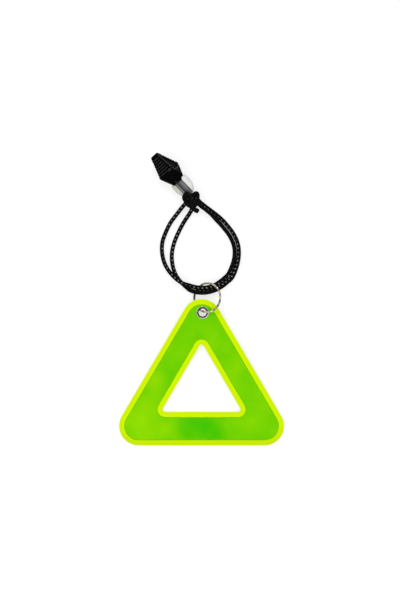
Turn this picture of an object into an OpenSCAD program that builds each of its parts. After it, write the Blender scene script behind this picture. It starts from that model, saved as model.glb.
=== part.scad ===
// Soft triangle reflector on a wire ring with butted ends, with an elastic cord and a small plug-in clip.
// The reflector lies on its back as it comes to rest, with the ring threaded through its eyelet.
// The origin is on the surface it lies on, below the middle of the reflector and its ring.

/* [Reflector] */
// Width of the reflector
reflector_w = 80; // [74:1:100]
// Height of the reflector
reflector_h = 71; // [66:1:90]
// Radius of the reflector's outer corners
corner_r = 9.5; // [8:0.5:11]
// Width of the bare welded rim round the outside and round the hole
rim_w = 2.8; // [2:0.1:3.5]
// Thickness of the yellow base sheet
base_t = 0.4; // [0.3:0.05:0.6]
// Thickness of each prismatic film
film_t = 0.2; // [0.15:0.05:0.25]

/* [Triangular hole] */
// Distance between the centres of the hole's two bottom corner arcs
hole_base = 35.2; // [30:0.2:38]
// Height of the hole's top corner arc above its bottom ones
hole_rise = 30.2; // [26:0.2:34]
// Radius of the hole's corners
hole_corner_r = 1.2; // [0.8:0.1:2]
// Height of the hole's bottom edge above the reflector's bottom edge
hole_up = 16.3; // [15:0.1:18]

/* [Eyelet] */
// Sideways offset of the punched eyelet from the reflector's middle
eyelet_x = 0.5; // [-1:0.1:1]
// Distance from the reflector's top edge down to the eyelet's centre
eyelet_down = 6.5; // [6:0.1:7.5]
// Radius of the eyelet's clear hole
eyelet_hole_r = 2.15; // [2:0.05:2.4]
// Wall of the eyelet's barrel
barrel_wall = 0.3; // [0.2:0.05:0.4]
// Radius of the eyelet's flange
flange_r = 3; // [2.9:0.05:3.4]
// Thickness of the flange's flat
flange_t = 0.2; // [0.15:0.05:0.3]
// Radius of the rounded lip where the barrel turns into the flange
lip_r = 0.4; // [0.3:0.05:0.45]
// Depth that the flange presses into each film
film_pinch = 0.1; // [0.05:0.05:0.1]
// Gap between the barrel and the punched hole in the sheets
punch_gap = 0.05; // [0.02:0.01:0.1]

/* [Wire ring] */
// Radius of the ring, to the middle of its wire
ring_r = 7; // [6.8:0.1:8]
// Diameter of the ring's wire
wire_d = 0.9; // [0.8:0.05:0.9]
// Gap between the ring's two butted ends
ring_gap = 0.5; // [0.2:0.1:1]
// Direction of the gap, as seen from the front
ring_gap_at = -42; // [-80:1:40]
// Angle between the ring and the reflector at rest
ring_lean = 26.5; // [26.5:0.5:40]
// Angle by which the ring's far side dips below the reflector's plane
ring_dip = 7; // [5:0.5:9]
// Sideways offset of the ring's centre from its swing axis, in the ring's own plane
ring_offset = 2.5; // [2:0.1:2.6]
// Distance from the eyelet's centre up to where the wire crosses it
wire_up = 0.6; // [0.2:0.1:0.7]

/* [Clip] */
// Direction in which the clip points, seen from the front
clip_yaw = 134; // [120:1:150]
// Upward slope of the clip
clip_pitch = 5; // [0:1:6]
// Roll of the clip about its own length
clip_roll = 30; // [25:1:35]
// Distance from the foot of the plug to the housing's mouth
mouth_at = 8.3; // [8:0.1:9.2]
// Distance from the foot of the plug to the housing's widest place
waist_at = 15.5; // [15:0.1:16.5]
// Distance from the foot of the plug to the housing's tip
tip_at = 25.8; // [24:0.1:27]
// Housing's width across its two panels, at the waist
waist_w = 9; // [8:0.1:9.6]
// Housing's width across its two grip faces, at the waist
waist_h = 8.2; // [7.4:0.1:8.8]
// Housing's width across its panels, at the tip
tip_w = 3.7; // [2.8:0.1:4.2]
// Housing's width across its grip faces, at the tip
tip_h = 2; // [1.4:0.1:2.4]
// Radius of the rounded nose at the mouth
nose_r = 3.2; // [3:0.1:3.5]
// Number of ribs on each grip face
rib_count = 6; // [4:1:7]
// Pitch of the ribs
rib_pitch = 1.3; // [1.1:0.05:1.4]
// Width of the groove between two ribs
rib_groove = 0.65; // [0.4:0.05:0.8]
// Depth of the groove between two ribs
rib_deep = 0.4; // [0.2:0.05:0.5]
// Width of the raised border round each panel
border_w = 0.75; // [0.5:0.05:1]
// Depth of each panel below its border
panel_deep = 0.4; // [0.2:0.05:0.5]
// Distance from each panel's two ends to the housing's waist and tip
panel_end = 1.6; // [1:0.1:2.5]

/* [Plug] */
// Radius of the plug's stem
stem_r = 2.1; // [1.9:0.05:2.3]
// Length of the stem from its foot to the start of its round end
stem_len = 13.2; // [12:0.1:14]
// Radius of the stem's bore, which holds the cord
stem_bore_r = 1.3; // [1.2:0.05:1.4]
// Depth of the stem's bore
stem_bore_len = 11; // [8:0.5:12]
// Running clearance between the stem and the housing's bore
stem_gap = 0.1; // [0.05:0.01:0.1]
// Thickness of the two sprung wings
wing_t = 2.4; // [2:0.1:2.8]
// Clearance of the wings in the housing's slot, each side
wing_gap = 0.15; // [0.1:0.05:0.3]
// Length of the housing's slot beyond the wings' free ends
slot_more = 1.6; // [1:0.1:2.4]
// Slit between the stem and each wing
wing_slit = 0.4; // [0.3:0.05:0.6]
// Radius of the wings' curved outer side
wing_bow_r = 8; // [7:0.5:10]
// Distance of the wings' widest place from the foot of the plug
wing_bow_at = 6.3; // [5.5:0.1:7]
// Half of the plug's width at its widest place
wing_reach = 4.8; // [4.4:0.1:5.2]
// Length of the wings' solid root above the foot
wing_root = 1.9; // [1.5:0.1:2.5]
// Distance from the foot of the plug to the wings' free ends
wing_end = 9; // [8.9:0.1:9.4]

/* [Cord] */
// Diameter of the elastic cord
cord_d = 2; // [1.8:0.1:2]
// Width of the cord's cut tail, which the cut has frayed a little
tail_d = 2.3; // [2:0.1:2.4]

/* [Hidden] */
$fn = 64;

// Heights and lengths of the reflector
half_base = base_t / 2;
half_film = half_base + film_t;
corner_base = reflector_w - 2 * corner_r;
corner_rise = reflector_h - 2 * corner_r;
eyelet_up = reflector_h - eyelet_down;
field_drop = eyelet_up - rim_w;

// Eyelet
barrel_r = eyelet_hole_r + barrel_wall;
flange_low = half_film - film_pinch;
eyelet_half = flange_low + flange_t;
punch_r = barrel_r + punch_gap;

// Ring: the swing axis runs through the eyelet, and the ring dips along it
wire_r = wire_d / 2;
chord_half = sqrt(ring_r * ring_r - ring_offset * ring_offset);
ring_y = wire_up + chord_half * cos(ring_dip) + ring_offset * sin(ring_lean) * sin(ring_dip);
ring_z = ring_offset * sin(ring_lean) * cos(ring_dip) - chord_half * sin(ring_dip);

// The ring's low side holds the eyelet up, and the reflector's bottom edge lies on the surface
function ring_drop(tilt) =
    ring_r * sqrt(1 - pow(cos(ring_lean) * cos(ring_dip - tilt), 2)) + wire_r
    - ring_y * sin(tilt) - ring_z * cos(tilt);
function settled(tilt, steps) =
    steps == 0 ? tilt : settled(asin((ring_drop(tilt) - half_film * cos(tilt)) / field_drop), steps - 1);
rest_tilt = settled(2, 8);
eyelet_z = ring_drop(rest_tilt);

// The origin lies midway between the reflector's bottom edge and the ring's far side
low_y = -eyelet_up * cos(rest_tilt);
ring_far = ring_y * cos(rest_tilt) - ring_z * sin(rest_tilt)
    + ring_r * sqrt(1 - pow(cos(ring_lean) * sin(ring_dip - rest_tilt), 2)) + wire_r;
eyelet_y = -(low_y + ring_far) / 2;

// Clip
wing_half = wing_t / 2;
bow_y = wing_reach - wing_bow_r;
house_bore_r = stem_r + stem_gap;
house_bore_len = stem_len + stem_r + 0.4 - mouth_at;
slot_half = wing_half + wing_gap;
slot_len = wing_end - mouth_at + slot_more;
notch_half = 1;
grip_slope = atan((waist_h - tip_h) / 2 / (tip_at - waist_at));
tip_bevel = 0.6;
over = 1;

// The nose's cone runs out over the waist's four corners, a little before the waist
corner_room = 0.15;
waist_r = norm([waist_w, waist_h]) / 2 + corner_room;
corner_at = waist_at - corner_room * (waist_at - mouth_at) / (waist_r - nose_r);

// Plug's foot, beside the eyelet and above the surface that the housing's lower corner rests on
foot_x = -5.7;
foot_y = 57.4;
foot_z = cos(clip_pitch) * (waist_w / 2 * sin(clip_roll) + waist_h / 2 * cos(clip_roll))
    - corner_at * sin(clip_pitch);

// Knot, beside the eyelet: its two packed cores, the two bights that stand up, the turn round its neck
// and its cut tail
knot_cores = [[-5.1, 53.6, 3.4, 2.3], [-7.35, 55.55, 6.2, 0.9]];
knot_turns = [
    [[-5.9, 52.3, 4.2], [-7.6, 53.2, 4.6], [-8.7, 54.6, 5.1], [-8.95, 55.9, 5.8], [-8.25, 57.0, 7.0],
     [-7.2, 57.3, 7.7], [-6.2, 56.5, 7.55], [-5.5, 55.2, 6.8], [-4.5, 53.9, 6.0], [-3.3, 52.9, 5.0],
     [-2.8, 52.7, 3.6]],
    [[-6.8, 54.2, 4.6], [-5.4, 54.9, 4.4], [-4.5, 56.2, 4.3], [-3.8, 57.4, 4.3], [-2.8, 57.6, 4.3],
     [-2.4, 56.6, 4.2], [-2.5, 55.2, 3.9], [-3.2, 53.8, 3.2]],
    [[-8.3, 53.9, 2.6], [-7.7, 52.7, 3.2], [-6.6, 51.7, 3.8], [-5.1, 51.3, 4.4], [-3.6, 51.9, 4.8],
     [-2.4, 53.1, 4.4], [-1.9, 54.2, 3.4]]];
knot_tail = [[-5.0, 52.4, 4.2], [-4.7, 50.9, 4.0], [-3.7, 49.8, 3.3], [-2.2, 48.95, 2.5]];

// Route of the cord beside the eyelet, from the plug's stem to the knot
route = [
    [-9.9, 61.7, 4.9], [-5.7, 57.4, 4.4], [-1.7, 52.3, 4.1], [1.0, 49.9, 3.6], [3.9, 47.5, 2.6],
    [6.7, 44.8, 1.7], [9.6, 41.7, 1.0], [13.1, 37.1, 1.0], [15.1, 32.5, 1.0], [15.5, 27.9, 1.0],
    [14.7, 23.3, 1.0], [12.8, 18.5, 1.0], [10.7, 16.3, 1.2], [8.3, 14.4, 1.7], [5.6, 12.8, 2.4],
    [2.4, 11.9, 2.9], [-0.6, 11.7, 2.9], [-3.6, 12.1, 3.1], [-6.6, 13.0, 3.2], [-9.7, 14.2, 3.2],
    [-12.6, 16.1, 3.1], [-15.3, 18.8, 2.3], [-17.3, 21.6, 1.4], [-18.8, 24.9, 1.0], [-19.7, 29.4, 1.0],
    [-19.5, 34.0, 1.0], [-18.0, 38.5, 1.0], [-15.6, 43.4, 1.0], [-12.2, 48.0, 1.3], [-8.7, 52.3, 2.0],
    [-6.0, 54.6, 2.0], [-3.0, 55.0, 1.9], [-0.4, 53.6, 1.8], [2.3, 51.5, 1.4], [5.3, 49.0, 1.0],
    [8.2, 46.3, 1.0], [11.2, 43.1, 1.0], [14.9, 38.1, 1.0], [17.1, 33.0, 1.0], [17.6, 27.8, 1.0],
    [16.7, 22.8, 1.0], [14.5, 17.2, 1.0], [12.0, 14.6, 1.1], [9.5, 12.7, 1.4], [6.4, 10.9, 2.1],
    [2.8, 9.8, 2.6], [-0.3, 9.5, 2.6], [-3.3, 9.8, 2.5], [-5.8, 10.7, 1.7], [-8.1, 12.4, 1.0],
    [-11.4, 15.8, 1.0], [-13.6, 19.6, 1.0], [-14.8, 24.5, 1.0], [-14.8, 29.4, 1.0], [-13.6, 34.3, 1.0],
    [-11.6, 39.0, 1.0], [-9.0, 43.9, 1.0], [-5.8, 48.8, 1.4], [-4.9, 51.6, 2.3]];

// Flat shapes

// Triangle with round corners, standing on y = 0
module round_triangle(base, rise, r) {
    half = base / 2;
    side = sqrt(half * half + rise * rise);
    nx = r * rise / side;
    ny = r * half / side;
    translate([0, r]) {
        polygon([[-half, -r], [half, -r], [half + nx, ny], [nx, rise + ny], [0, rise],
                 [-nx, rise + ny], [-half - nx, ny]]);
        for (x = [-half, half]) translate([x, 0]) circle(r);
        translate([0, rise]) circle(r);
    }
}

// Outline of a sheet, inset from the edge and grown round the triangular hole
module sheet_outline(inset) {
    difference() {
        translate([0, inset]) round_triangle(corner_base, corner_rise, corner_r - inset);
        translate([0, hole_up - inset]) round_triangle(hole_base, hole_rise, hole_corner_r + inset);
    }
}

// Half of the eyelet's section: its barrel, its rounded lip and its flange
module lip_section() {
    edge_r = flange_t / 2;
    intersection() {
        union() {
            translate([eyelet_hole_r, 0]) square([barrel_wall, eyelet_half]);
            translate([eyelet_hole_r, flange_low]) square([flange_r - edge_r - eyelet_hole_r, flange_t]);
            translate([flange_r - edge_r, flange_low + edge_r]) circle(edge_r);
        }
        union() {
            translate([eyelet_hole_r + lip_r, eyelet_half - lip_r]) circle(lip_r);
            translate([eyelet_hole_r + lip_r, 0]) square([flange_r, eyelet_half]);
            translate([eyelet_hole_r, 0]) square([lip_r, eyelet_half - lip_r]);
        }
    }
}

// Side view of the housing between two mirrored slopes
module housing_profile(waist, tip) {
    polygon([[mouth_at, -waist / 2], [waist_at, -waist / 2], [tip_at - tip_bevel, -tip / 2 - tip_bevel * 0.2],
             [tip_at, -tip / 2 + tip_bevel * 0.4], [tip_at, tip / 2 - tip_bevel * 0.4],
             [tip_at - tip_bevel, tip / 2 + tip_bevel * 0.2], [waist_at, waist / 2], [mouth_at, waist / 2]]);
}

// Wing of the plug, with its slit beside the stem
module wing_profile() {
    difference() {
        intersection() {
            translate([wing_bow_at, bow_y]) circle(wing_bow_r, $fn = 128);
            translate([0.4, 0]) square([wing_end - 0.4, wing_reach + over]);
        }
        translate([wing_root, -over]) square([wing_end, over + stem_r + wing_slit]);
    }
}

// Places

// The reflector's own frame: the eyelet's centre, tilted as the reflector lies
module on_reflector() {
    translate([eyelet_x, eyelet_y, eyelet_z]) rotate([rest_tilt, 0, 0]) children();
}

// The clip's own frame: its foot, with X along the clip
module on_clip() {
    translate([eyelet_x + foot_x, eyelet_y + foot_y, foot_z])
        rotate([-clip_roll, -clip_pitch, clip_yaw]) children();
}

// The reflector

module base_sheet() {
    color("#dcf500") on_reflector() translate([-eyelet_x, -eyelet_up, -half_base]) difference() {
        linear_extrude(base_t) sheet_outline(0);
        translate([eyelet_x, eyelet_up, -over]) cylinder(r = punch_r, h = base_t + 2 * over);
    }
}

// One prismatic film, pinched thin under the eyelet's flange
module prism_film() {
    difference() {
        translate([-eyelet_x, -eyelet_up, half_base]) linear_extrude(film_t) sheet_outline(rim_w);
        cylinder(r = punch_r, h = half_film + over);
        translate([0, 0, flange_low]) cylinder(r = flange_r + punch_gap, h = over);
    }
}

module front_prism_film() {
    color("#78d900") on_reflector() prism_film();
}

module back_prism_film() {
    color("#78d900") on_reflector() mirror([0, 0, 1]) prism_film();
}

module eyelet() {
    color("#c9c2b4") on_reflector() rotate_extrude() {
        lip_section();
        mirror([0, 1]) lip_section();
    }
}

module wire_ring() {
    gap_angle = 2 * asin(ring_gap / 2 / ring_r);
    color("#b9b2a4") on_reflector() translate([0, wire_up, 0]) rotate([-ring_dip, 0, 0])
        rotate([0, -ring_lean, 0]) translate([ring_offset, chord_half, 0])
            rotate([0, 0, ring_gap_at + gap_angle / 2])
                rotate_extrude(angle = 360 - gap_angle) translate([ring_r, 0]) circle(wire_r);
}

// The cord

// Ring of eight points round one place of the route, square to its neighbours
function unit(v) = v / norm(v);
function heading(p, i) = unit(p[min(i + 1, len(p) - 1)] - p[max(i - 1, 0)]);
function section(p, i, r, sides) =
    let (along = heading(p, i), side = unit(cross(along, [0, 0, 1])), up = cross(side, along))
    [for (k = [0 : sides - 1]) let (a = 90 + 360 * k / sides) p[i] + r * (cos(a) * side + sin(a) * up)];

module tube(p, r, sides = 8) {
    last = len(p) - 1;
    points = [for (i = [0 : last]) each section(p, i, r, sides)];
    sides_faces = [for (i = [0 : last - 1], k = [0 : sides - 1])
        let (a = i * sides + k, b = i * sides + (k + 1) % sides) each [[a, b, b + sides], [a, b + sides, a + sides]]];
    cap_start = [for (k = [sides - 1 : -1 : 0]) k];
    cap_end = [for (k = [0 : sides - 1]) last * sides + k];
    polyhedron(points, concat(sides_faces, [cap_start, cap_end]));
}

module cord() {
    color("#161616") translate([eyelet_x, eyelet_y, 0]) tube(route, cord_d / 2);
}

module cord_knot() {
    color("#161616") translate([eyelet_x, eyelet_y, 0]) {
        for (core = knot_cores) translate([core[0], core[1], core[2]]) sphere(core[3], $fn = 12);
        for (turn = knot_turns) tube(turn, cord_d / 2);
        tube(knot_tail, tail_d / 2);
    }
}

// The clip

module clip_plug() {
    color("#e8e8e4", 0.5) on_clip() difference() {
        union() {
            rotate([0, 90, 0]) cylinder(r = stem_r, h = stem_len);
            translate([stem_len, 0, 0]) sphere(stem_r);
            for (s = [0, 1]) mirror([0, s, 0])
                translate([0, 0, -wing_half]) linear_extrude(wing_t) wing_profile();
        }
        translate([-over, 0, 0]) rotate([0, 90, 0]) cylinder(r = stem_bore_r, h = stem_bore_len + over);
    }
}

// Grooves across one grip face, from its waist to near its tip
module grip_grooves() {
    translate([waist_at, 0, waist_h / 2]) rotate([0, grip_slope, 0])
        for (i = [1 : rib_count])
            translate([i * rib_pitch, 0, 0])
                cube([rib_groove, waist_w + over, 2 * rib_deep], center = true);
}

// Sunk panel inside the raised border of one broad face, with its floor as deep before the waist as after it
module panel_recess() {
    near = waist_at - panel_end;
    far = tip_at - panel_end;
    intersection() {
        translate([0, 0, -waist_h]) linear_extrude(2 * waist_h)
            polygon([[near - over, waist_w / 2 - panel_deep], [waist_at, waist_w / 2 - panel_deep],
                     [tip_at, tip_w / 2 - panel_deep], [tip_at, waist_w], [near - over, waist_w]]);
        rotate([90, 0, 0]) translate([0, 0, -waist_w]) linear_extrude(waist_w)
            polygon([[near, -waist_h / 4], [waist_at + 0.4, -waist_h / 2 + border_w],
                     [far, -tip_h / 2 + border_w / 2], [far, tip_h / 2 - border_w / 2],
                     [waist_at + 0.4, waist_h / 2 - border_w], [near, waist_h / 4]]);
    }
}

module clip_housing() {
    color("#141414") on_clip() difference() {
        intersection() {
            translate([0, 0, -waist_h]) linear_extrude(2 * waist_h) housing_profile(waist_w, tip_w);
            rotate([90, 0, 0]) translate([0, 0, -waist_w]) linear_extrude(2 * waist_w)
                housing_profile(waist_h, tip_h);
            union() {
                translate([mouth_at, 0, 0]) rotate([0, 90, 0])
                    cylinder(r1 = nose_r, r2 = waist_r, h = waist_at - mouth_at);
                translate([waist_at, 0, 0]) rotate([0, 90, 0])
                    cylinder(r = waist_r, h = tip_at - waist_at);
            }
        }
        translate([mouth_at - over, 0, 0]) rotate([0, 90, 0])
            cylinder(r = house_bore_r, h = house_bore_len + over);
        translate([mouth_at - over, -waist_w, -slot_half]) cube([slot_len + over, 2 * waist_w, 2 * slot_half]);
        translate([mouth_at - over, -notch_half, -waist_h]) cube([slot_len + over, 2 * notch_half, 2 * waist_h]);
        for (s = [0, 1]) mirror([0, 0, s]) grip_grooves();
        for (s = [0, 1]) mirror([0, s, 0]) panel_recess();
    }
}

base_sheet();
front_prism_film();
back_prism_film();
eyelet();
wire_ring();
cord();
cord_knot();
clip_plug();
clip_housing();
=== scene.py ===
import math

import bpy
from mathutils import Matrix, Vector


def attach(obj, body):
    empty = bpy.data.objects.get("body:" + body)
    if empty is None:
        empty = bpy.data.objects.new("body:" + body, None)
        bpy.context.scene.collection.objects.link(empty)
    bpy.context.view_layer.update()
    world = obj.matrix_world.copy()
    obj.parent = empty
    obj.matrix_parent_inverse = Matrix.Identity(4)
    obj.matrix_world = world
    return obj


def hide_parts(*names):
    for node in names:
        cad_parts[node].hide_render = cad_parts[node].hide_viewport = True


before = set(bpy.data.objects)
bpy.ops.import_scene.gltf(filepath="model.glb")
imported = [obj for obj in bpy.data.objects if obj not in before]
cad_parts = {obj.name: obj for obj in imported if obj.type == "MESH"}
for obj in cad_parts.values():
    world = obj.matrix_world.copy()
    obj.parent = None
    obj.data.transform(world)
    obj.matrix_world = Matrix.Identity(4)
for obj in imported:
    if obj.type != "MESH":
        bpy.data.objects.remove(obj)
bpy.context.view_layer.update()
MM = 0.001

# The eyelet's centre in the row frame, and the tilt at which the reflector lies
EYELET = Vector((0.5, 24.9023, 2.99882)) * MM
LAY = Matrix.Translation(EYELET) @ Matrix.Rotation(math.radians(2.41436), 4, "X")

# The clip's foot beside the eyelet and in the row frame, in millimetres
CLIP_X, CLIP_Y = -5.7, 57.4
CLIP_FOOT = Vector((0.5 + CLIP_X, 24.9023 + CLIP_Y, 4.4587))

# The clip's own frame, with X from its foot to its tip, and two of its directions in the row frame
CLIP = (Matrix.Translation(CLIP_FOOT * MM) @ Matrix.Rotation(math.radians(134), 4, "Z")
        @ Matrix.Rotation(math.radians(-5), 4, "Y") @ Matrix.Rotation(math.radians(-30), 4, "X"))
CLIP_ALONG = (-0.6920, 0.7166, 0.0872)
CLIP_ACROSS = (0.7193, 0.6947, 0.0)


def linked(name, data):
    """A new object in the scene."""
    obj = bpy.data.objects.new(name, data)
    bpy.context.scene.collection.objects.link(obj)
    return obj


# ---------------------------------------------------------------- camera

# It looks straight down from 1.2 m, with the photo's field of view
cam = bpy.data.cameras.new("camera")
cam.sensor_fit = "VERTICAL"
cam.sensor_height = 36
cam.sensor_width = 24
cam.lens = 148.45
cam.clip_end = 10
camera = linked("camera", cam)
camera.location = (-0.00076, 0.03096, 1.2)
bpy.context.scene.camera = camera

# ---------------------------------------------------------------- node helpers


class Nodes:
    """Short forms for the nodes of one material or world."""

    def __init__(self, owner):
        owner.use_nodes = True
        self.owner = owner
        self.tree = owner.node_tree
        self.tree.nodes.clear()

    def node(self, kind, **values):
        made = self.tree.nodes.new("ShaderNode" + kind)
        for key, value in values.items():
            setattr(made, key, value)
        return made

    def put(self, socket, value):
        if isinstance(value, bpy.types.NodeSocket):
            self.tree.links.new(value, socket)
        elif isinstance(value, tuple) and len(value) == 3 and len(socket.default_value) == 4:
            socket.default_value = (*value, 1)
        else:
            socket.default_value = value

    def math(self, kind, *args, clamp=False):
        made = self.node("Math", operation=kind, use_clamp=clamp)
        for socket, value in zip(made.inputs, args):
            self.put(socket, value)
        return made.outputs[0]

    def vector(self, kind, *args, out="Vector"):
        made = self.node("VectorMath", operation=kind)
        for socket, value in zip(made.inputs, args):
            self.put(socket, value)
        return made.outputs[out]

    def split(self, vector):
        made = self.node("SeparateXYZ")
        self.put(made.inputs[0], vector)
        return made.outputs

    def step(self, value, low, high):
        """Smoothly from 0 at low to 1 at high."""
        made = self.node("MapRange", interpolation_type="SMOOTHSTEP")
        for socket, given in zip(made.inputs, (value, low, high, 0.0, 1.0)):
            self.put(socket, given)
        return made.outputs[0]

    def mix(self, factor, a, b):
        made = self.node("Mix", data_type="RGBA")
        for index, value in ((0, factor), (6, a), (7, b)):
            self.put(made.inputs[index], value)
        return made.outputs[2]

    def noise(self, where, scale, detail=3.0, rough=0.5):
        made = self.node("TexNoise")
        for key, value in (("Vector", where), ("Scale", scale), ("Detail", detail), ("Roughness", rough)):
            self.put(made.inputs[key], value)
        return made.outputs["Fac"]

    def cloudy(self, where, scale, dark, bright):
        """A mix of two colours by soft noise."""
        return self.mix(self.step(self.noise(where, scale, 2.0), 0.35, 0.65), dark, bright)

    def place(self):
        """The place on the object in millimetres."""
        return self.vector("MULTIPLY", self.node("TexCoord").outputs["Object"], (1000, 1000, 1000))

    def reach(self, at, x, y):
        """Distance in plan from a place, in millimetres."""
        flat = self.vector("MULTIPLY", at, (1, 1, 0))
        return self.vector("DISTANCE", flat, (x, y, 0), out="Value")

    def bump(self, height, strength, distance, onto=None):
        made = self.node("Bump")
        for key, value in (("Height", height), ("Strength", strength), ("Distance", distance)):
            self.put(made.inputs[key], value)
        if onto is not None:
            self.put(made.inputs["Normal"], onto)
        return made.outputs[0]

    def shown(self, shader, kind="OutputMaterial"):
        self.tree.links.new(shader.outputs[0], self.node(kind).inputs["Surface"])

    def surface(self, normal, **values):
        made = self.node("BsdfPrincipled")
        for key, value in values.items():
            self.put(made.inputs[key.replace("_", " ")], value)
        self.put(made.inputs["Normal"], normal)
        self.shown(made)
        return self.owner


def new_material(name):
    return Nodes(bpy.data.materials.new(name))


# ---------------------------------------------------------------- materials


def rim_material(name, low, high):
    """Yellow sheet, with its colour near the bottom edge, in millimetres of y, and elsewhere."""
    n = new_material(name)
    at = n.place()
    y = n.math("MULTIPLY_ADD", n.noise(at, 0.12, 2.0), 4.0, n.split(at)[1])
    colour = n.mix(n.step(y, -36.0, -28.0), low, high)
    bump = n.bump(n.noise(at, 3.0, 4.0, 0.6), 0.12, 0.0001)
    return n.surface(bump, Base_Color=colour, Roughness=0.45, Specular_IOR_Level=0.03)


# Darker and lighter places of the film: x, y and radius in millimetres, and how much lighter
FILM_PLACES = ((1.4, -31.5, 19.5, -0.46), (-17.5, -32.0, 7.0, 0.22), (-29.0, -25.0, 24.0, 0.36),
               (-22.0, -7.0, 9.0, 0.22), (-1.5, 12.0, 7.0, -0.18), (24.0, -26.0, 14.0, 0.06))
GROOVE_PITCH = 0.3


def prism_material():
    """Green film, with three sets of fine grooves at 60 degrees, as cube-corner prisms have."""
    n = new_material("prism_film")
    at = n.place()
    cloud = n.noise(at, 0.09, 2.0, 0.4)
    fine = n.noise(at, 0.4, 2.0, 0.5)
    tone = n.math("MULTIPLY_ADD", n.math("SUBTRACT", cloud, 0.5), 0.9, 0.50)
    tone = n.math("MULTIPLY_ADD", n.math("SUBTRACT", fine, 0.5), 0.10, tone)
    for x, y, radius, lift in FILM_PLACES:
        near = n.math("SUBTRACT", 1.0, n.step(n.reach(at, x, y), 0.0, radius))
        tone = n.math("MULTIPLY_ADD", near, lift, tone)
    tone = n.math("ADD", tone, 0.0, clamp=True)
    colour = n.mix(tone, (0.062, 0.585, 0.0), (0.30, 0.76, 0.0))
    x, y, _ = n.split(at)
    grooves = None
    for turn in (0, 60, 120):
        c, s = math.cos(math.radians(turn)) / GROOVE_PITCH, math.sin(math.radians(turn)) / GROOVE_PITCH
        groove = n.math("PINGPONG", n.math("ADD", n.math("MULTIPLY", x, c), n.math("MULTIPLY", y, s)), 0.5)
        grooves = groove if grooves is None else n.math("MINIMUM", grooves, groove)
    bump = n.bump(cloud, 0.1, 0.0006, n.bump(grooves, 0.15, 0.00008))
    return n.surface(bump, Base_Color=colour, Roughness=0.34, Specular_IOR_Level=0.03)


# A darker green line round the film's edge: partly the weld between film and sheet, partly painted shade at
# the step of the raised film
def weld_and_shade_material():
    n = new_material("weld_and_shade_line")
    at = n.place()
    colour = n.cloudy(at, 0.5, (0.10, 0.44, 0.0), (0.22, 0.56, 0.0))
    bump = n.bump(n.noise(at, 2.5, 3.0), 0.3, 0.0001)
    return n.surface(bump, Base_Color=colour, Roughness=0.4, Specular_IOR_Level=0.12)


def metal_material(name, dim_reflection, bright, dark, places, soft):
    """Nickel, cloudy between dim and bright as painted reflections, and darkened with a soft edge at places as
    painted shade and dark reflections: x, y and reach in millimetres.
    """
    n = new_material(name)
    at = n.place()
    colour = n.cloudy(at, 0.7, dim_reflection, bright)
    for x, y, reach in places:
        colour = n.mix(n.step(n.reach(at, x, y), reach - soft, reach + soft), dark, colour)
    rough = n.math("MULTIPLY_ADD", n.noise(at, 1.5, 2.0), 0.08, 0.14)
    return n.surface(n.bump(rough, 0.05, 0.00003), Base_Color=colour, Metallic=1.0, Roughness=rough)


# Lighter grey for the rods along the housing's edges and rib crests: painted highlights
def painted_highlight_material():
    n = new_material("painted_highlight_edges")
    at = n.place()
    colour = n.cloudy(at, 0.6, (0.018, 0.018, 0.017), (0.068, 0.066, 0.058))
    bump = n.bump(n.noise(at, 4.0, 2.0), 0.1, 0.00005)
    return n.surface(bump, Base_Color=colour, Roughness=0.3, Specular_IOR_Level=0.35)


def cord_material(name, light):
    """Braided black elastic: UV x counts the fleck pitch along the cord, y the turn round it."""
    n = new_material(name)
    u, v, _ = n.split(n.node("UVMap", uv_map="braid").outputs[0])
    # Two rows of flecks, half a pitch apart, each fleck a small slanted round
    rows = n.math("MULTIPLY", v, 2.0)
    row = n.math("ROUND", rows)
    across = n.math("MULTIPLY", n.math("SUBTRACT", rows, row), 3.14)
    along = n.math("SUBTRACT", n.math("FRACT", n.math("MULTIPLY_ADD", row, 0.5, u)), 0.5)
    slant = n.math("MULTIPLY_ADD", across, -0.5, n.math("MULTIPLY", along, 2.05))
    far = n.math("SQRT", n.math("ADD", n.math("POWER", slant, 2.0), n.math("POWER", across, 2.0)))
    fleck = n.math("SUBTRACT", 1.0, n.step(far, 0.16, 0.38))
    worn = n.step(n.noise(n.place(), 0.35, 2.0), 0.36, 0.56)
    fleck = n.math("MULTIPLY", fleck, n.math("MULTIPLY_ADD", worn, 0.75, 0.25))
    # The fine threads between them
    thread = n.node("TexWave", wave_type="BANDS", bands_direction="DIAGONAL")
    scaled = n.node("CombineXYZ")
    n.put(scaled.inputs[0], n.math("MULTIPLY", u, 6.0))
    n.put(scaled.inputs[1], n.math("MULTIPLY", v, 18.0))
    n.put(thread.inputs["Vector"], scaled.outputs[0])
    thread.inputs["Scale"].default_value = 1.0
    thread.inputs["Distortion"].default_value = 1.5
    black = n.mix(thread.outputs["Fac"], (0.002, 0.002, 0.002), (0.008, 0.008, 0.008))
    colour = n.mix(fleck, black, (light, light, light * 0.97))
    bump = n.bump(thread.outputs["Fac"], 0.5, 0.0001)
    return n.surface(bump, Base_Color=colour, Roughness=0.8, Specular_IOR_Level=0.03)


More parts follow.
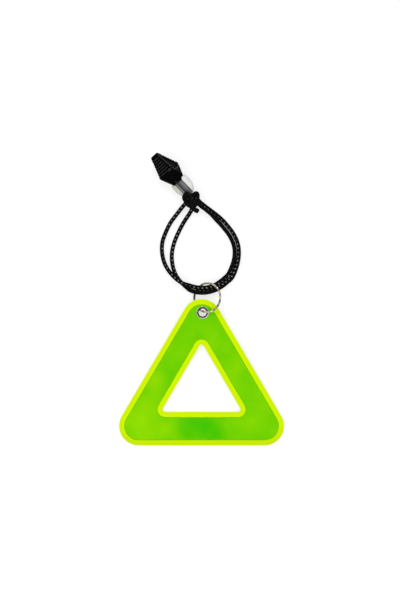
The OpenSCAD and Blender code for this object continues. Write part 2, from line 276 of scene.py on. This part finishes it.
def clear_material():
    """Clear plastic: its stem is dark with the cord inside it and with painted shade, and its thin wings look
    milky, the lower one greyer with painted shade.
    """
    n = new_material("clear_plastic")
    at = n.place()

    def clip_way(way):
        """Distance from the clip's foot in one direction, in millimetres."""
        return n.math("SUBTRACT", n.vector("DOT_PRODUCT", at, way, out="Value"), CLIP_FOOT.dot(Vector(way)))

    across, along = clip_way(CLIP_ACROSS), clip_way(CLIP_ALONG)
    # The stem runs from dark on its lower left side to grey on its upper right: painted shade across its
    # round, over the dark of the cord inside
    stem = n.mix(n.step(across, -1.2, 0.8), (0.075, 0.075, 0.080), (0.29, 0.29, 0.285))
    past_foot = n.math("MULTIPLY", n.step(along, 1.5, 4.0), 0.75)
    stem = n.mix(past_foot, n.mix(0.5, stem, (0.02, 0.02, 0.03)), stem)
    # Black where the stem runs inside the housing: painted shadow
    stem = n.mix(n.step(along, 7.8, 8.5), stem, (0.02, 0.02, 0.02))
    # The lower left wing is greyer beige than the upper right one: painted shade
    wing = n.mix(n.step(across, -2.0, 2.0), (0.76, 0.75, 0.68), (1.0, 1.0, 0.99))
    wing = n.mix(n.math("MULTIPLY", n.noise(at, 0.45, 1.0), 0.2), wing, (0.88, 0.88, 0.85))
    on_wing = n.math("ADD", n.step(across, 1.2, 1.9), n.math("SUBTRACT", 1.0, n.step(across, -2.3, -1.5)))
    bump = n.bump(n.noise(at, 0.4, 1.0), 0.03, 0.0002)
    return n.surface(bump, Base_Color=n.mix(on_wing, stem, wing), Roughness=0.22, IOR=1.2,
                     Transmission_Weight=0.15, Specular_IOR_Level=0.25)


def black_material():
    n = new_material("black_plastic")
    at = n.place()
    grain = n.noise(at, 6.0, 4.0, 0.6)
    colour = n.mix(n.noise(at, 0.4, 2.0), (0.001, 0.001, 0.001), (0.003, 0.003, 0.0035))
    rough = n.math("MULTIPLY_ADD", grain, 0.12, 0.20)
    return n.surface(n.bump(grain, 0.08, 0.00006), Base_Color=colour, Roughness=rough, Specular_IOR_Level=0.01)


RIM = rim_material("rim_pvc", (0.59, 0.88, 0.0), (0.655, 0.96, 0.0))
# A darker, more olive yellow for the band along the sheet's outer edge: painted shade of its rounded edge
RIM_EDGE_SHADE = rim_material("rim_edge_shade", (0.625, 0.83, 0.0), (0.69, 0.91, 0.0))
PRISM, WELD_AND_SHADE = prism_material(), weld_and_shade_material()
# The dark ring round the hole is a painted reflection of the dark hole, and the bright flange a painted
# reflection
ROLLED = metal_material("nickel_eyelet", dim_reflection=(0.36, 0.33, 0.25), bright=(0.86, 0.83, 0.75),
                        dark=(0.055, 0.038, 0.028), places=((0.5, 24.95, 2.66),), soft=0.14)
# The wire's dark places are painted shade and dark reflections: on its left arc between cord and sheet, and at
# its lower right
WIRE = metal_material("nickel_wire", dim_reflection=(0.17, 0.145, 0.11), bright=(0.62, 0.58, 0.49),
                      dark=(0.06, 0.045, 0.04), soft=1.1,
                      places=((-4.4, 33.6, 3.0), (7.6, 27.6, 0.9), (9.2, 30.4, 0.7)))
CORD, KNOTTED = cord_material("cord", 0.38), cord_material("cord_in_knot", 0.07)
CLEAR, BLACK, PAINTED_HIGHLIGHT = clear_material(), black_material(), painted_highlight_material()


def dress(name, material, bevel=0.0, segments=2):
    """A new material, and rounded edges where the real piece has them, in millimetres."""
    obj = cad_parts[name]
    if isinstance(obj, str):
        obj = bpy.data.objects[obj]
    for slot in obj.material_slots:
        slot.material = material
    if bevel:
        made = obj.modifiers.new("edges", "BEVEL")
        made.width = bevel * MM
        made.segments = segments
        made.limit_method = "ANGLE"
        made.angle_limit = math.radians(30)
        made.harden_normals = False
    return obj


dress("base_sheet", RIM, 0.12)
dress("front_prism_film", PRISM)
dress("back_prism_film", PRISM)
dress("eyelet", ROLLED)
dress("clip_plug", CLEAR)
dress("clip_housing", BLACK, 0.16, 3)
# The wire looks fuller in the photo; more than this would touch the cord as the ring swings
fuller = dress("wire_ring", WIRE).modifiers.new("fuller", "DISPLACE")
fuller.strength, fuller.mid_level = 0.05 * MM, 0.0

# ---------------------------------------------------------------- meshes


def mesh_piece(name, shape, material, body):
    """A smooth piece on a body, from vertices, faces and perhaps UVs."""
    verts, faces, *uvs = shape
    mesh = bpy.data.meshes.new(name)
    mesh.from_pydata([tuple(v) for v in verts], [], faces)
    mesh.validate()
    if uvs:
        layer = mesh.uv_layers.new(name="braid")
        for polygon in mesh.polygons:
            for corner, at in zip(polygon.loop_indices, uvs[0][polygon.index]):
                layer.data[corner].uv = at
    for polygon in mesh.polygons:
        polygon.use_smooth = True
    mesh.materials.append(material)
    obj = linked(name, mesh)
    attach(obj, body)
    return obj


def joined(parts):
    """The vertices, faces and any UVs of several parts as one shape."""
    verts, faces, uvs = [], [], []
    for part_verts, part_faces, *part_uvs in parts:
        base = len(verts)
        verts.extend(part_verts)
        faces.extend(tuple(base + k for k in face) for face in part_faces)
        for given in part_uvs:
            uvs.extend(given)
    return (verts, faces, uvs) if uvs else (verts, faces)


def quads(rings, sides, closed=False, turned=False):
    """The faces between rings of vertices that follow each other, or turned over."""
    faces = []
    for i in range(rings if closed else rings - 1):
        for k in range(sides):
            a, b = i * sides + k, i * sides + (k + 1) % sides
            c, d = ((i + 1) % rings) * sides + (k + 1) % sides, ((i + 1) % rings) * sides + k
            faces.append((a, d, c, b) if turned else (a, b, c, d))
    return faces


def caps(rings, sides):
    """The faces that close the first and the last ring."""
    return [tuple(range(sides - 1, -1, -1)), tuple((rings - 1) * sides + k for k in range(sides))]


def angles(count):
    return [2 * math.pi * k / count for k in range(count)]


# ---------------------------------------------------------------- cord


def smooth_path(points, step):
    """Points an equal step apart on the smooth curve through the given ones, and its length."""
    pts = [2 * points[0] - points[1], *points, 2 * points[-1] - points[-2]]
    fine = []
    for i in range(1, len(pts) - 2):
        a, b, c, d = pts[i - 1:i + 3]
        for k in range(16):
            t = k / 16
            fine.append(0.5 * (2 * b + (c - a) * t + (2 * a - 5 * b + 4 * c - d) * t ** 2
                               + (3 * b - a - 3 * c + d) * t ** 3))
    fine.append(points[-1].copy())
    lengths = [0.0]
    for a, b in zip(fine, fine[1:]):
        lengths.append(lengths[-1] + (b - a).length)
    count = max(4, round(lengths[-1] / step))
    out, j = [], 0
    for i in range(count + 1):
        want = lengths[-1] * i / count
        while j < len(fine) - 2 and lengths[j + 1] < want:
            j += 1
        span = lengths[j + 1] - lengths[j]
        out.append(fine[j].lerp(fine[j + 1], (want - lengths[j]) / span if span else 0.0))
    return out, lengths[-1]


# The cord's ring of vertices, the step between rings, and the pitch of its flecks
SIDES, STEP, PITCH = 24, 0.175 * MM, 2.05 * MM
# The braid's relief: its height, the length of a crossing and the crossings round half the cord
RELIEF, CROSSING, STRANDS = 0.035 * MM, 1.05 * MM, 6
ROUND_END = (0.86, 0.95, 0.99)
BARE_UV = (0.0, 0.12)

# How far the weave has turned round the cord after a length of it: millimetres, turns
WEAVE_TURN = ((0, 0.10), (10, 0.15), (20, 0.17), (26, 0.25), (46, 0.25), (53, 0.12), (58, 0.09), (64, 0.02),
              (80, 0.0), (100, -0.03), (120, 0.03), (133, -0.10), (145, -0.05), (160, -0.05), (175, -0.04),
              (182, -0.06), (188, -0.16), (200, -0.19), (207, -0.10), (215, -0.05), (240, 0.04), (250, 0.0))


def wander(s):
    """How far the weave has turned after a length of the cord."""
    for (s0, v0), (s1, v1) in zip(WEAVE_TURN, WEAVE_TURN[1:]):
        if s <= s1 * MM:
            return v0 + (v1 - v0) * (s / MM - s0) / (s1 - s0)
    return 0.0


# Where along the cord, in millimetres, it passes through the ring, and how much fuller it is there
THROUGH_RING, FULLER = (60, 185), 0.12


def swelling(s):
    """How much thicker the cord is after a length of it: fuller near the ring, and fading out over 8 mm."""
    near = max(2.2 - abs(s - middle * MM) / (8 * MM) for middle in THROUGH_RING)
    return 1 + FULLER * max(0.0, min(1.0, near))


def braided(path, length, radius, in_knot=False, spin=0.0):
    """A braided cord along a path, with closed ends: in the knot its weave follows each bend."""
    step = length / (len(path) - 1)
    verts, up = [], Vector((0, 0, 1))
    for i, p in enumerate(path):
        along = (path[min(i + 1, len(path) - 1)] - path[max(i - 1, 0)]).normalized()
        if not in_knot:
            up = Vector((0, 0, 1))
        side = along.cross(up).normalized()
        up = side.cross(along).normalized()
        s, end = i * step, min(i, len(path) - 1 - i)
        size = ROUND_END[end] if end < len(ROUND_END) else 1.0
        if not in_knot:
            size *= swelling(s)
        w = 2 * math.pi * s / CROSSING
        for a in angles(SIDES):
            relief = RELIEF * (math.cos(STRANDS * a + w) * math.cos(STRANDS * a - w) - 0.4)
            verts.append(p + (radius + relief) * size * (math.cos(a) * up + math.sin(a) * side))
    uvs = []
    for i in range(len(path) - 1):
        u0, u1 = i * step / PITCH, (i + 1) * step / PITCH
        t0, t1 = (spin + wander(j * step) for j in (i, i + 1))
        for k in range(SIDES):
            v0, v1 = k / SIDES, (k + 1) / SIDES
            uvs.append(((u0, v0 + t0), (u0, v1 + t0), (u1, v1 + t1), (u1, v0 + t1)))
    uvs += [[BARE_UV] * SIDES] * 2
    return verts, quads(len(path), SIDES) + caps(len(path), SIDES), uvs


def beside_eyelet(points):
    """Points given in millimetres beside the eyelet and over the floor."""
    return [Vector((x * MM + EYELET.x, y * MM + EYELET.y, z * MM)) for x, y, z in points]


# The cord's route, as in part.scad but with its two strands nearer to each other at the knot and at the ring
ROUTE = beside_eyelet([
    (-9.9, 61.7, 4.9), (-5.7, 57.4, 4.4), (-1.7, 52.3, 4.1), (1.13, 50.05, 3.7), (4.05, 47.65, 2.75),
    (6.7, 44.8, 1.7), (9.6, 41.7, 1.0), (13.1, 37.1, 1.0), (15.1, 32.5, 1.0), (15.5, 27.9, 1.0),
    (14.6, 23.35, 1.0), (12.55, 18.65, 1.0), (10.45, 16.5, 1.2), (8.15, 14.65, 1.7), (5.5, 13.05, 2.4),
    (2.4, 12.1, 2.9), (-0.6, 11.9, 2.9), (-3.55, 12.25, 3.1), (-6.5, 13.1, 3.2), (-9.7, 14.2, 3.2),
    (-12.6, 16.1, 3.1), (-15.3, 18.8, 2.3), (-17.3, 21.6, 1.4), (-18.8, 24.9, 1.0), (-19.7, 29.4, 1.0),
    (-19.5, 34.0, 1.0), (-18.0, 38.5, 1.0), (-15.6, 43.4, 1.0), (-12.2, 48.0, 1.3), (-8.7, 52.3, 2.0),
    (-6.0, 54.6, 2.0), (-3.0, 55.0, 1.9), (-0.8, 53.1, 1.7), (1.85, 51.0, 1.3), (5.0, 48.65, 1.0),
    (8.1, 46.2, 1.0), (11.2, 43.1, 1.0), (14.95, 38.15, 1.0), (17.15, 33.0, 1.0), (17.55, 27.8, 1.0),
    (16.65, 22.85, 1.0), (14.4, 17.3, 1.0), (11.9, 14.77, 1.1), (9.45, 12.82, 1.4), (6.37, 11.03, 2.1),
    (2.8, 9.95, 2.6), (-0.3, 9.65, 2.6), (-3.3, 9.95, 2.5), (-5.8, 10.7, 1.7), (-8.1, 12.4, 1.0),
    (-11.4, 15.8, 1.0), (-13.6, 19.6, 1.0), (-14.8, 24.5, 1.0), (-14.8, 29.4, 1.0), (-13.6, 34.3, 1.0),
    (-11.6, 39.0, 1.0), (-9.0, 43.9, 1.0), (-5.8, 48.8, 1.4), (-4.9, 51.6, 2.3),
])
CORD_RADIUS, OVER_FLOOR = 1.005 * MM, 1.03 * MM

cord_path, cord_length = smooth_path(ROUTE, STEP)
for i, p in enumerate(cord_path):
    p.z = max(p.z, OVER_FLOOR * swelling(i * cord_length / (len(cord_path) - 1)))
cord = mesh_piece("cord_braid", braided(cord_path, cord_length, CORD_RADIUS), CORD, "reflector")
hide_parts("cord")

# The knot: two bights, the turn round its neck and the cut tail, each with its radius, then its packed cores
KNOT_TURNS = [
    (1.02, [(-5.9, 52.3, 4.2), (-7.6, 53.2, 4.6), (-8.7, 54.6, 5.1), (-8.95, 55.9, 5.8), (-8.25, 57.0, 7.0),
            (-7.2, 57.3, 7.7), (-6.2, 56.5, 7.55), (-5.5, 55.2, 6.8), (-4.5, 53.9, 6.0), (-3.3, 52.9, 5.0),
            (-2.8, 52.7, 3.6)]),
    (1.02, [(-6.8, 54.2, 4.6), (-5.4, 54.9, 4.4), (-4.5, 56.2, 4.3), (-3.8, 57.4, 4.3), (-2.8, 57.6, 4.3),
            (-2.4, 56.6, 4.2), (-2.5, 55.2, 3.9), (-3.2, 53.8, 3.2)]),
    (1.02, [(-8.3, 53.9, 2.6), (-7.7, 52.7, 3.2), (-6.6, 51.7, 3.8), (-5.1, 51.3, 4.4), (-3.6, 51.9, 4.8),
            (-2.4, 53.1, 4.4), (-1.9, 54.2, 3.4)]),
    (1.22, [(-5.0, 52.4, 4.2), (-4.7, 50.9, 4.0), (-3.7, 49.8, 3.3), (-2.2, 48.95, 2.5)]),
]
KNOT_CORES = ((-5.1, 53.6, 3.4, 2.3), (-7.35, 55.55, 6.2, 0.9))


def knot_core(x, y, z, size):
    """A slightly lobed ball of packed cord."""
    core, r = beside_eyelet([(x, y, z)])[0], size * 0.97 * MM
    rings, sides = 20, 32
    verts = [core + Vector((0, 0, -r))]
    for i in range(1, rings):
        b = math.pi * i / rings - math.pi / 2
        for a in angles(sides):
            way = Vector((math.cos(b) * math.cos(a), math.cos(b) * math.sin(a), math.sin(b)))
            verts.append(core + r * (1 + 0.02 * math.cos(5 * a + 6 * b)) * way)
    verts.append(core + Vector((0, 0, r)))
    faces, last = [], len(verts) - 1
    for k in range(sides):
        after = (k + 1) % sides
        faces.append((0, 1 + after, 1 + k))
        for i in range(rings - 2):
            a, b = 1 + i * sides + k, 1 + i * sides + after
            faces.append((a, b, b + sides, a + sides))
        faces.append((last, last - sides + k, last - sides + after))
    return verts, faces, [[BARE_UV] * len(face) for face in faces]


def knot():
    parts = []
    for i, (radius, turn) in enumerate(KNOT_TURNS):
        path, length = smooth_path(beside_eyelet(turn), STEP)
        # Each turn shows another side of the weave
        parts.append(braided(path, length, radius * MM, in_knot=True, spin=1.1 + 1.9 * i))
    return joined(parts + [knot_core(*core) for core in KNOT_CORES])


knot_piece = mesh_piece("knot_turns", knot(), KNOTTED, "reflector")
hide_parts("cord_knot")

# ---------------------------------------------------------------- lines round the film and the rim

# The eyelet's place on the flat sheet, in millimetres from the middle of its bottom edge
ON_SHEET = (0.5, 64.5)
# Round triangles on it: the base and the rise of the corners' centres, their radius and the bottom's y
WELD_AND_SHADE_OUTLINES = ((61, 52, 6.7, 2.8), (35.2, 30.2, 4.0, 13.5))
EDGES = ((61, 52, 8.7, 0.8), (35.2, 30.2, 2.0, 15.5))
BEAD_RISE = 0.09


def outline(base, rise, r, y0, arc=24):
    """The round triangle of part.scad as a closed line of points, in millimetres."""
    half = base / 2
    slope = math.atan2(half, rise)
    out = []
    for (cx, cy), a0, a1 in (((half, r), -math.pi / 2, slope), ((0, rise + r), slope, math.pi - slope),
                             ((-half, r), math.pi - slope, 3 * math.pi / 2)):
        for i in range(arc + 1):
            a = a0 + (a1 - a0) * i / arc
            out.append((cx + r * math.cos(a), cy + r * math.sin(a) + y0))
    return out


def bead(loop, z, half_width, sides=8):
    """A low bead along a closed line on the sheet, at a height over its middle plane."""
    verts, count = [], len(loop)
    for i, p in enumerate(loop):
        t = (Vector(loop[(i + 1) % count]) - Vector(loop[i - 1])).normalized()
        side = Vector((t.y, -t.x))
        for w in angles(sides):
            q = Vector(p) + side * half_width * math.cos(w)
            at = Vector((q.x - ON_SHEET[0], q.y - ON_SHEET[1], z + BEAD_RISE * math.sin(w)))
            verts.append(LAY @ (at * MM))
    return verts, quads(count, sides, closed=True, turned=True)


def beads(triangles, z, half_width):
    return joined([bead(outline(*triangle), z, half_width) for triangle in triangles])


# The darker weld lines, partly painted shade along the film's edge
for name, z in (("weld_front", 0.31), ("weld_back", -0.31)):
    piece = mesh_piece(name, beads(WELD_AND_SHADE_OUTLINES, z, 0.2), WELD_AND_SHADE, "reflector")
# Bands along the outer edge in the darker yellow of painted shade
for name, z in (("rim_edge_front", 0.14), ("rim_edge_back", -0.14)):
    piece = mesh_piece(name, beads(EDGES, z, 0.72), RIM_EDGE_SHADE, "reflector")

# ---------------------------------------------------------------- rolled edge inside the eyelet


def roll(major, minor, around=48, sides=8):
    """A ring about the eyelet's axis, twice as high as it is wide."""
    verts = []
    for a in angles(around):
        for w in angles(sides):
            r = major + minor * math.cos(w)
            at = Vector((r * math.cos(a), r * math.sin(a), 2 * minor * math.sin(w)))
            verts.append(LAY @ (at * MM))
    return verts, quads(around, sides, closed=True, turned=True)


piece = mesh_piece("eyelet_roll", roll(2.06, 0.14), ROLLED, "reflector")

# ---------------------------------------------------------------- ridges of the housing

# The housing in its own frame, in millimetres: its waist, its taper's length and slope, and both its sizes
# at the waist and at the tip
WAIST_X, TAPER, TAPER_COS = 15.5, 10.3, 0.957
WIDTHS, THICKNESSES = (9, 3.7), (8.2, 2)
CRESTS, RIB_PITCH = 7, 1.3
PANEL = [(13.9, -2.05), (14.9, -2.9), (16.0, -3.3), (24.2, -0.62),
         (24.2, 0.62), (16.0, 3.3), (14.9, 2.9), (13.9, 2.05)]


def rod(points, r, closed=False, sides=6):
    """Thin bead along a line in the clip's frame."""
    verts, count = [], len(points)
    for i, p in enumerate(points):
        a = points[i - 1] if closed or i else p
        b = points[(i + 1) % count] if closed or i + 1 < count else p
        along = (b - a).normalized()
        side = along.cross(Vector((0.3, 0.5, 0.8))).normalized()
        up = side.cross(along)
        for w in angles(sides):
            verts.append(CLIP @ ((p + r * (math.cos(w) * side + math.sin(w) * up)) * MM))
    return verts, quads(count, sides, closed) + ([] if closed else caps(count, sides))


def side_at(x, sizes):
    """Half of a size of the housing at a place along it."""
    waist, tip = sizes
    return waist / 2 - (waist - tip) / 2 * max(0.0, x - WAIST_X) / TAPER


def ridges():
    """On both faces, lighter rods as painted highlights: along the raised border of the panel, the crests of
    the ribs and the waist's edge.
    """
    parts = []
    for s in (-1, 1):
        border = []
        for (x0, z0), (x1, z1) in zip(PANEL, PANEL[1:] + PANEL[:1]):
            for k in range(6):
                x, z = x0 + (x1 - x0) * k / 6, z0 + (z1 - z0) * k / 6
                border.append(Vector((x, s * (side_at(x, WIDTHS) - 0.02), z)))
        parts.append(rod(border, 0.13, closed=True))
        for i in range(CRESTS):
            x = WAIST_X + (i + 0.5) * RIB_PITCH * TAPER_COS
            half = side_at(x, WIDTHS) - 0.7
            z = s * (side_at(x, THICKNESSES) - 0.01)
            parts.append(rod([Vector((x, half * (k / 4 - 1), z)) for k in range(9)], 0.1))
        parts.append(rod([Vector((WAIST_X, y, s * 4.08)) for y in (-4.1, -3.3, -2.5, -1.7)], 0.12))
    return joined(parts)


piece = mesh_piece("housing_ridges", ridges(), PAINTED_HIGHLIGHT, "housing")

# ---------------------------------------------------------------- floor and light

FLOOR_HALF, FLOOR_GLOW = 3, 0.66


def background_seen(n):
    """1 for the rays that show the background: to the camera, off gloss and through clear plastic."""
    path = n.node("LightPath")
    seen = n.math("MAXIMUM", path.outputs["Is Camera Ray"], path.outputs["Is Transmission Ray"])
    return n.math("MAXIMUM", seen, path.outputs["Is Glossy Ray"])


def floor():
    """A grey floor that keeps the object's shadow, and glows up to white where it is seen."""
    n = new_material("floor")
    plain = n.node("BsdfDiffuse")
    n.put(plain.inputs["Color"], n.mix(n.noise(n.place(), 0.02, 2.0), (0.44, 0.44, 0.44), (0.46, 0.46, 0.46)))
    glow = n.node("Emission")
    n.put(glow.inputs["Strength"], n.math("MULTIPLY", background_seen(n), FLOOR_GLOW))
    both = n.node("AddShader")
    n.put(both.inputs[0], plain.outputs[0])
    n.put(both.inputs[1], glow.outputs[0])
    n.shown(both)
    corners = [(x * FLOOR_HALF, y * FLOOR_HALF, 0) for x, y in ((-1, -1), (1, -1), (1, 1), (-1, 1))]
    mesh = bpy.data.meshes.new("floor")
    mesh.from_pydata(corners, [], [(0, 1, 2, 3)])
    mesh.materials.append(n.owner)
    obj = linked("floor", mesh)
    obj.location.z = -0.02 * MM


def studio():
    """Soft light from a ring of sky all round, and a white background where it is seen."""
    world = bpy.data.worlds.new("studio")
    bpy.context.scene.world = world
    n = Nodes(world)
    up = n.split(n.node("TexCoord").outputs["Generated"])[2]
    ring = n.math("MULTIPLY", n.step(up, 0.05, 0.40), n.math("SUBTRACT", 1.0, n.step(up, 0.93, 0.99)))
    strength = n.node("Mix", data_type="FLOAT")
    n.put(strength.inputs[0], background_seen(n))
    n.put(strength.inputs[2], n.math("MULTIPLY_ADD", ring, 0.80, 0.14))
    n.put(strength.inputs[3], 1.0)
    sky = n.node("Background")
    n.put(sky.inputs["Color"], (1, 1, 1))
    n.put(sky.inputs["Strength"], strength.outputs[0])
    n.shown(sky, "OutputWorld")


def lamp(name, place, size=0.14, watts=0.8):
    """A small soft lamp that points at the object's middle."""
    data = bpy.data.lights.new(name, "AREA")
    data.energy = watts
    data.size = size
    obj = linked(name, data)
    obj.location = place
    obj.rotation_euler = (Vector((0, 0.03, 0)) - Vector(place)).to_track_quat("-Z", "Y").to_euler()


floor()
studio()
lamp("key", (-0.12, 0.62, 0.68))
lamp("low", (-0.36, -0.57, 0.45))
bpy.context.scene.view_settings.view_transform = "Standard"
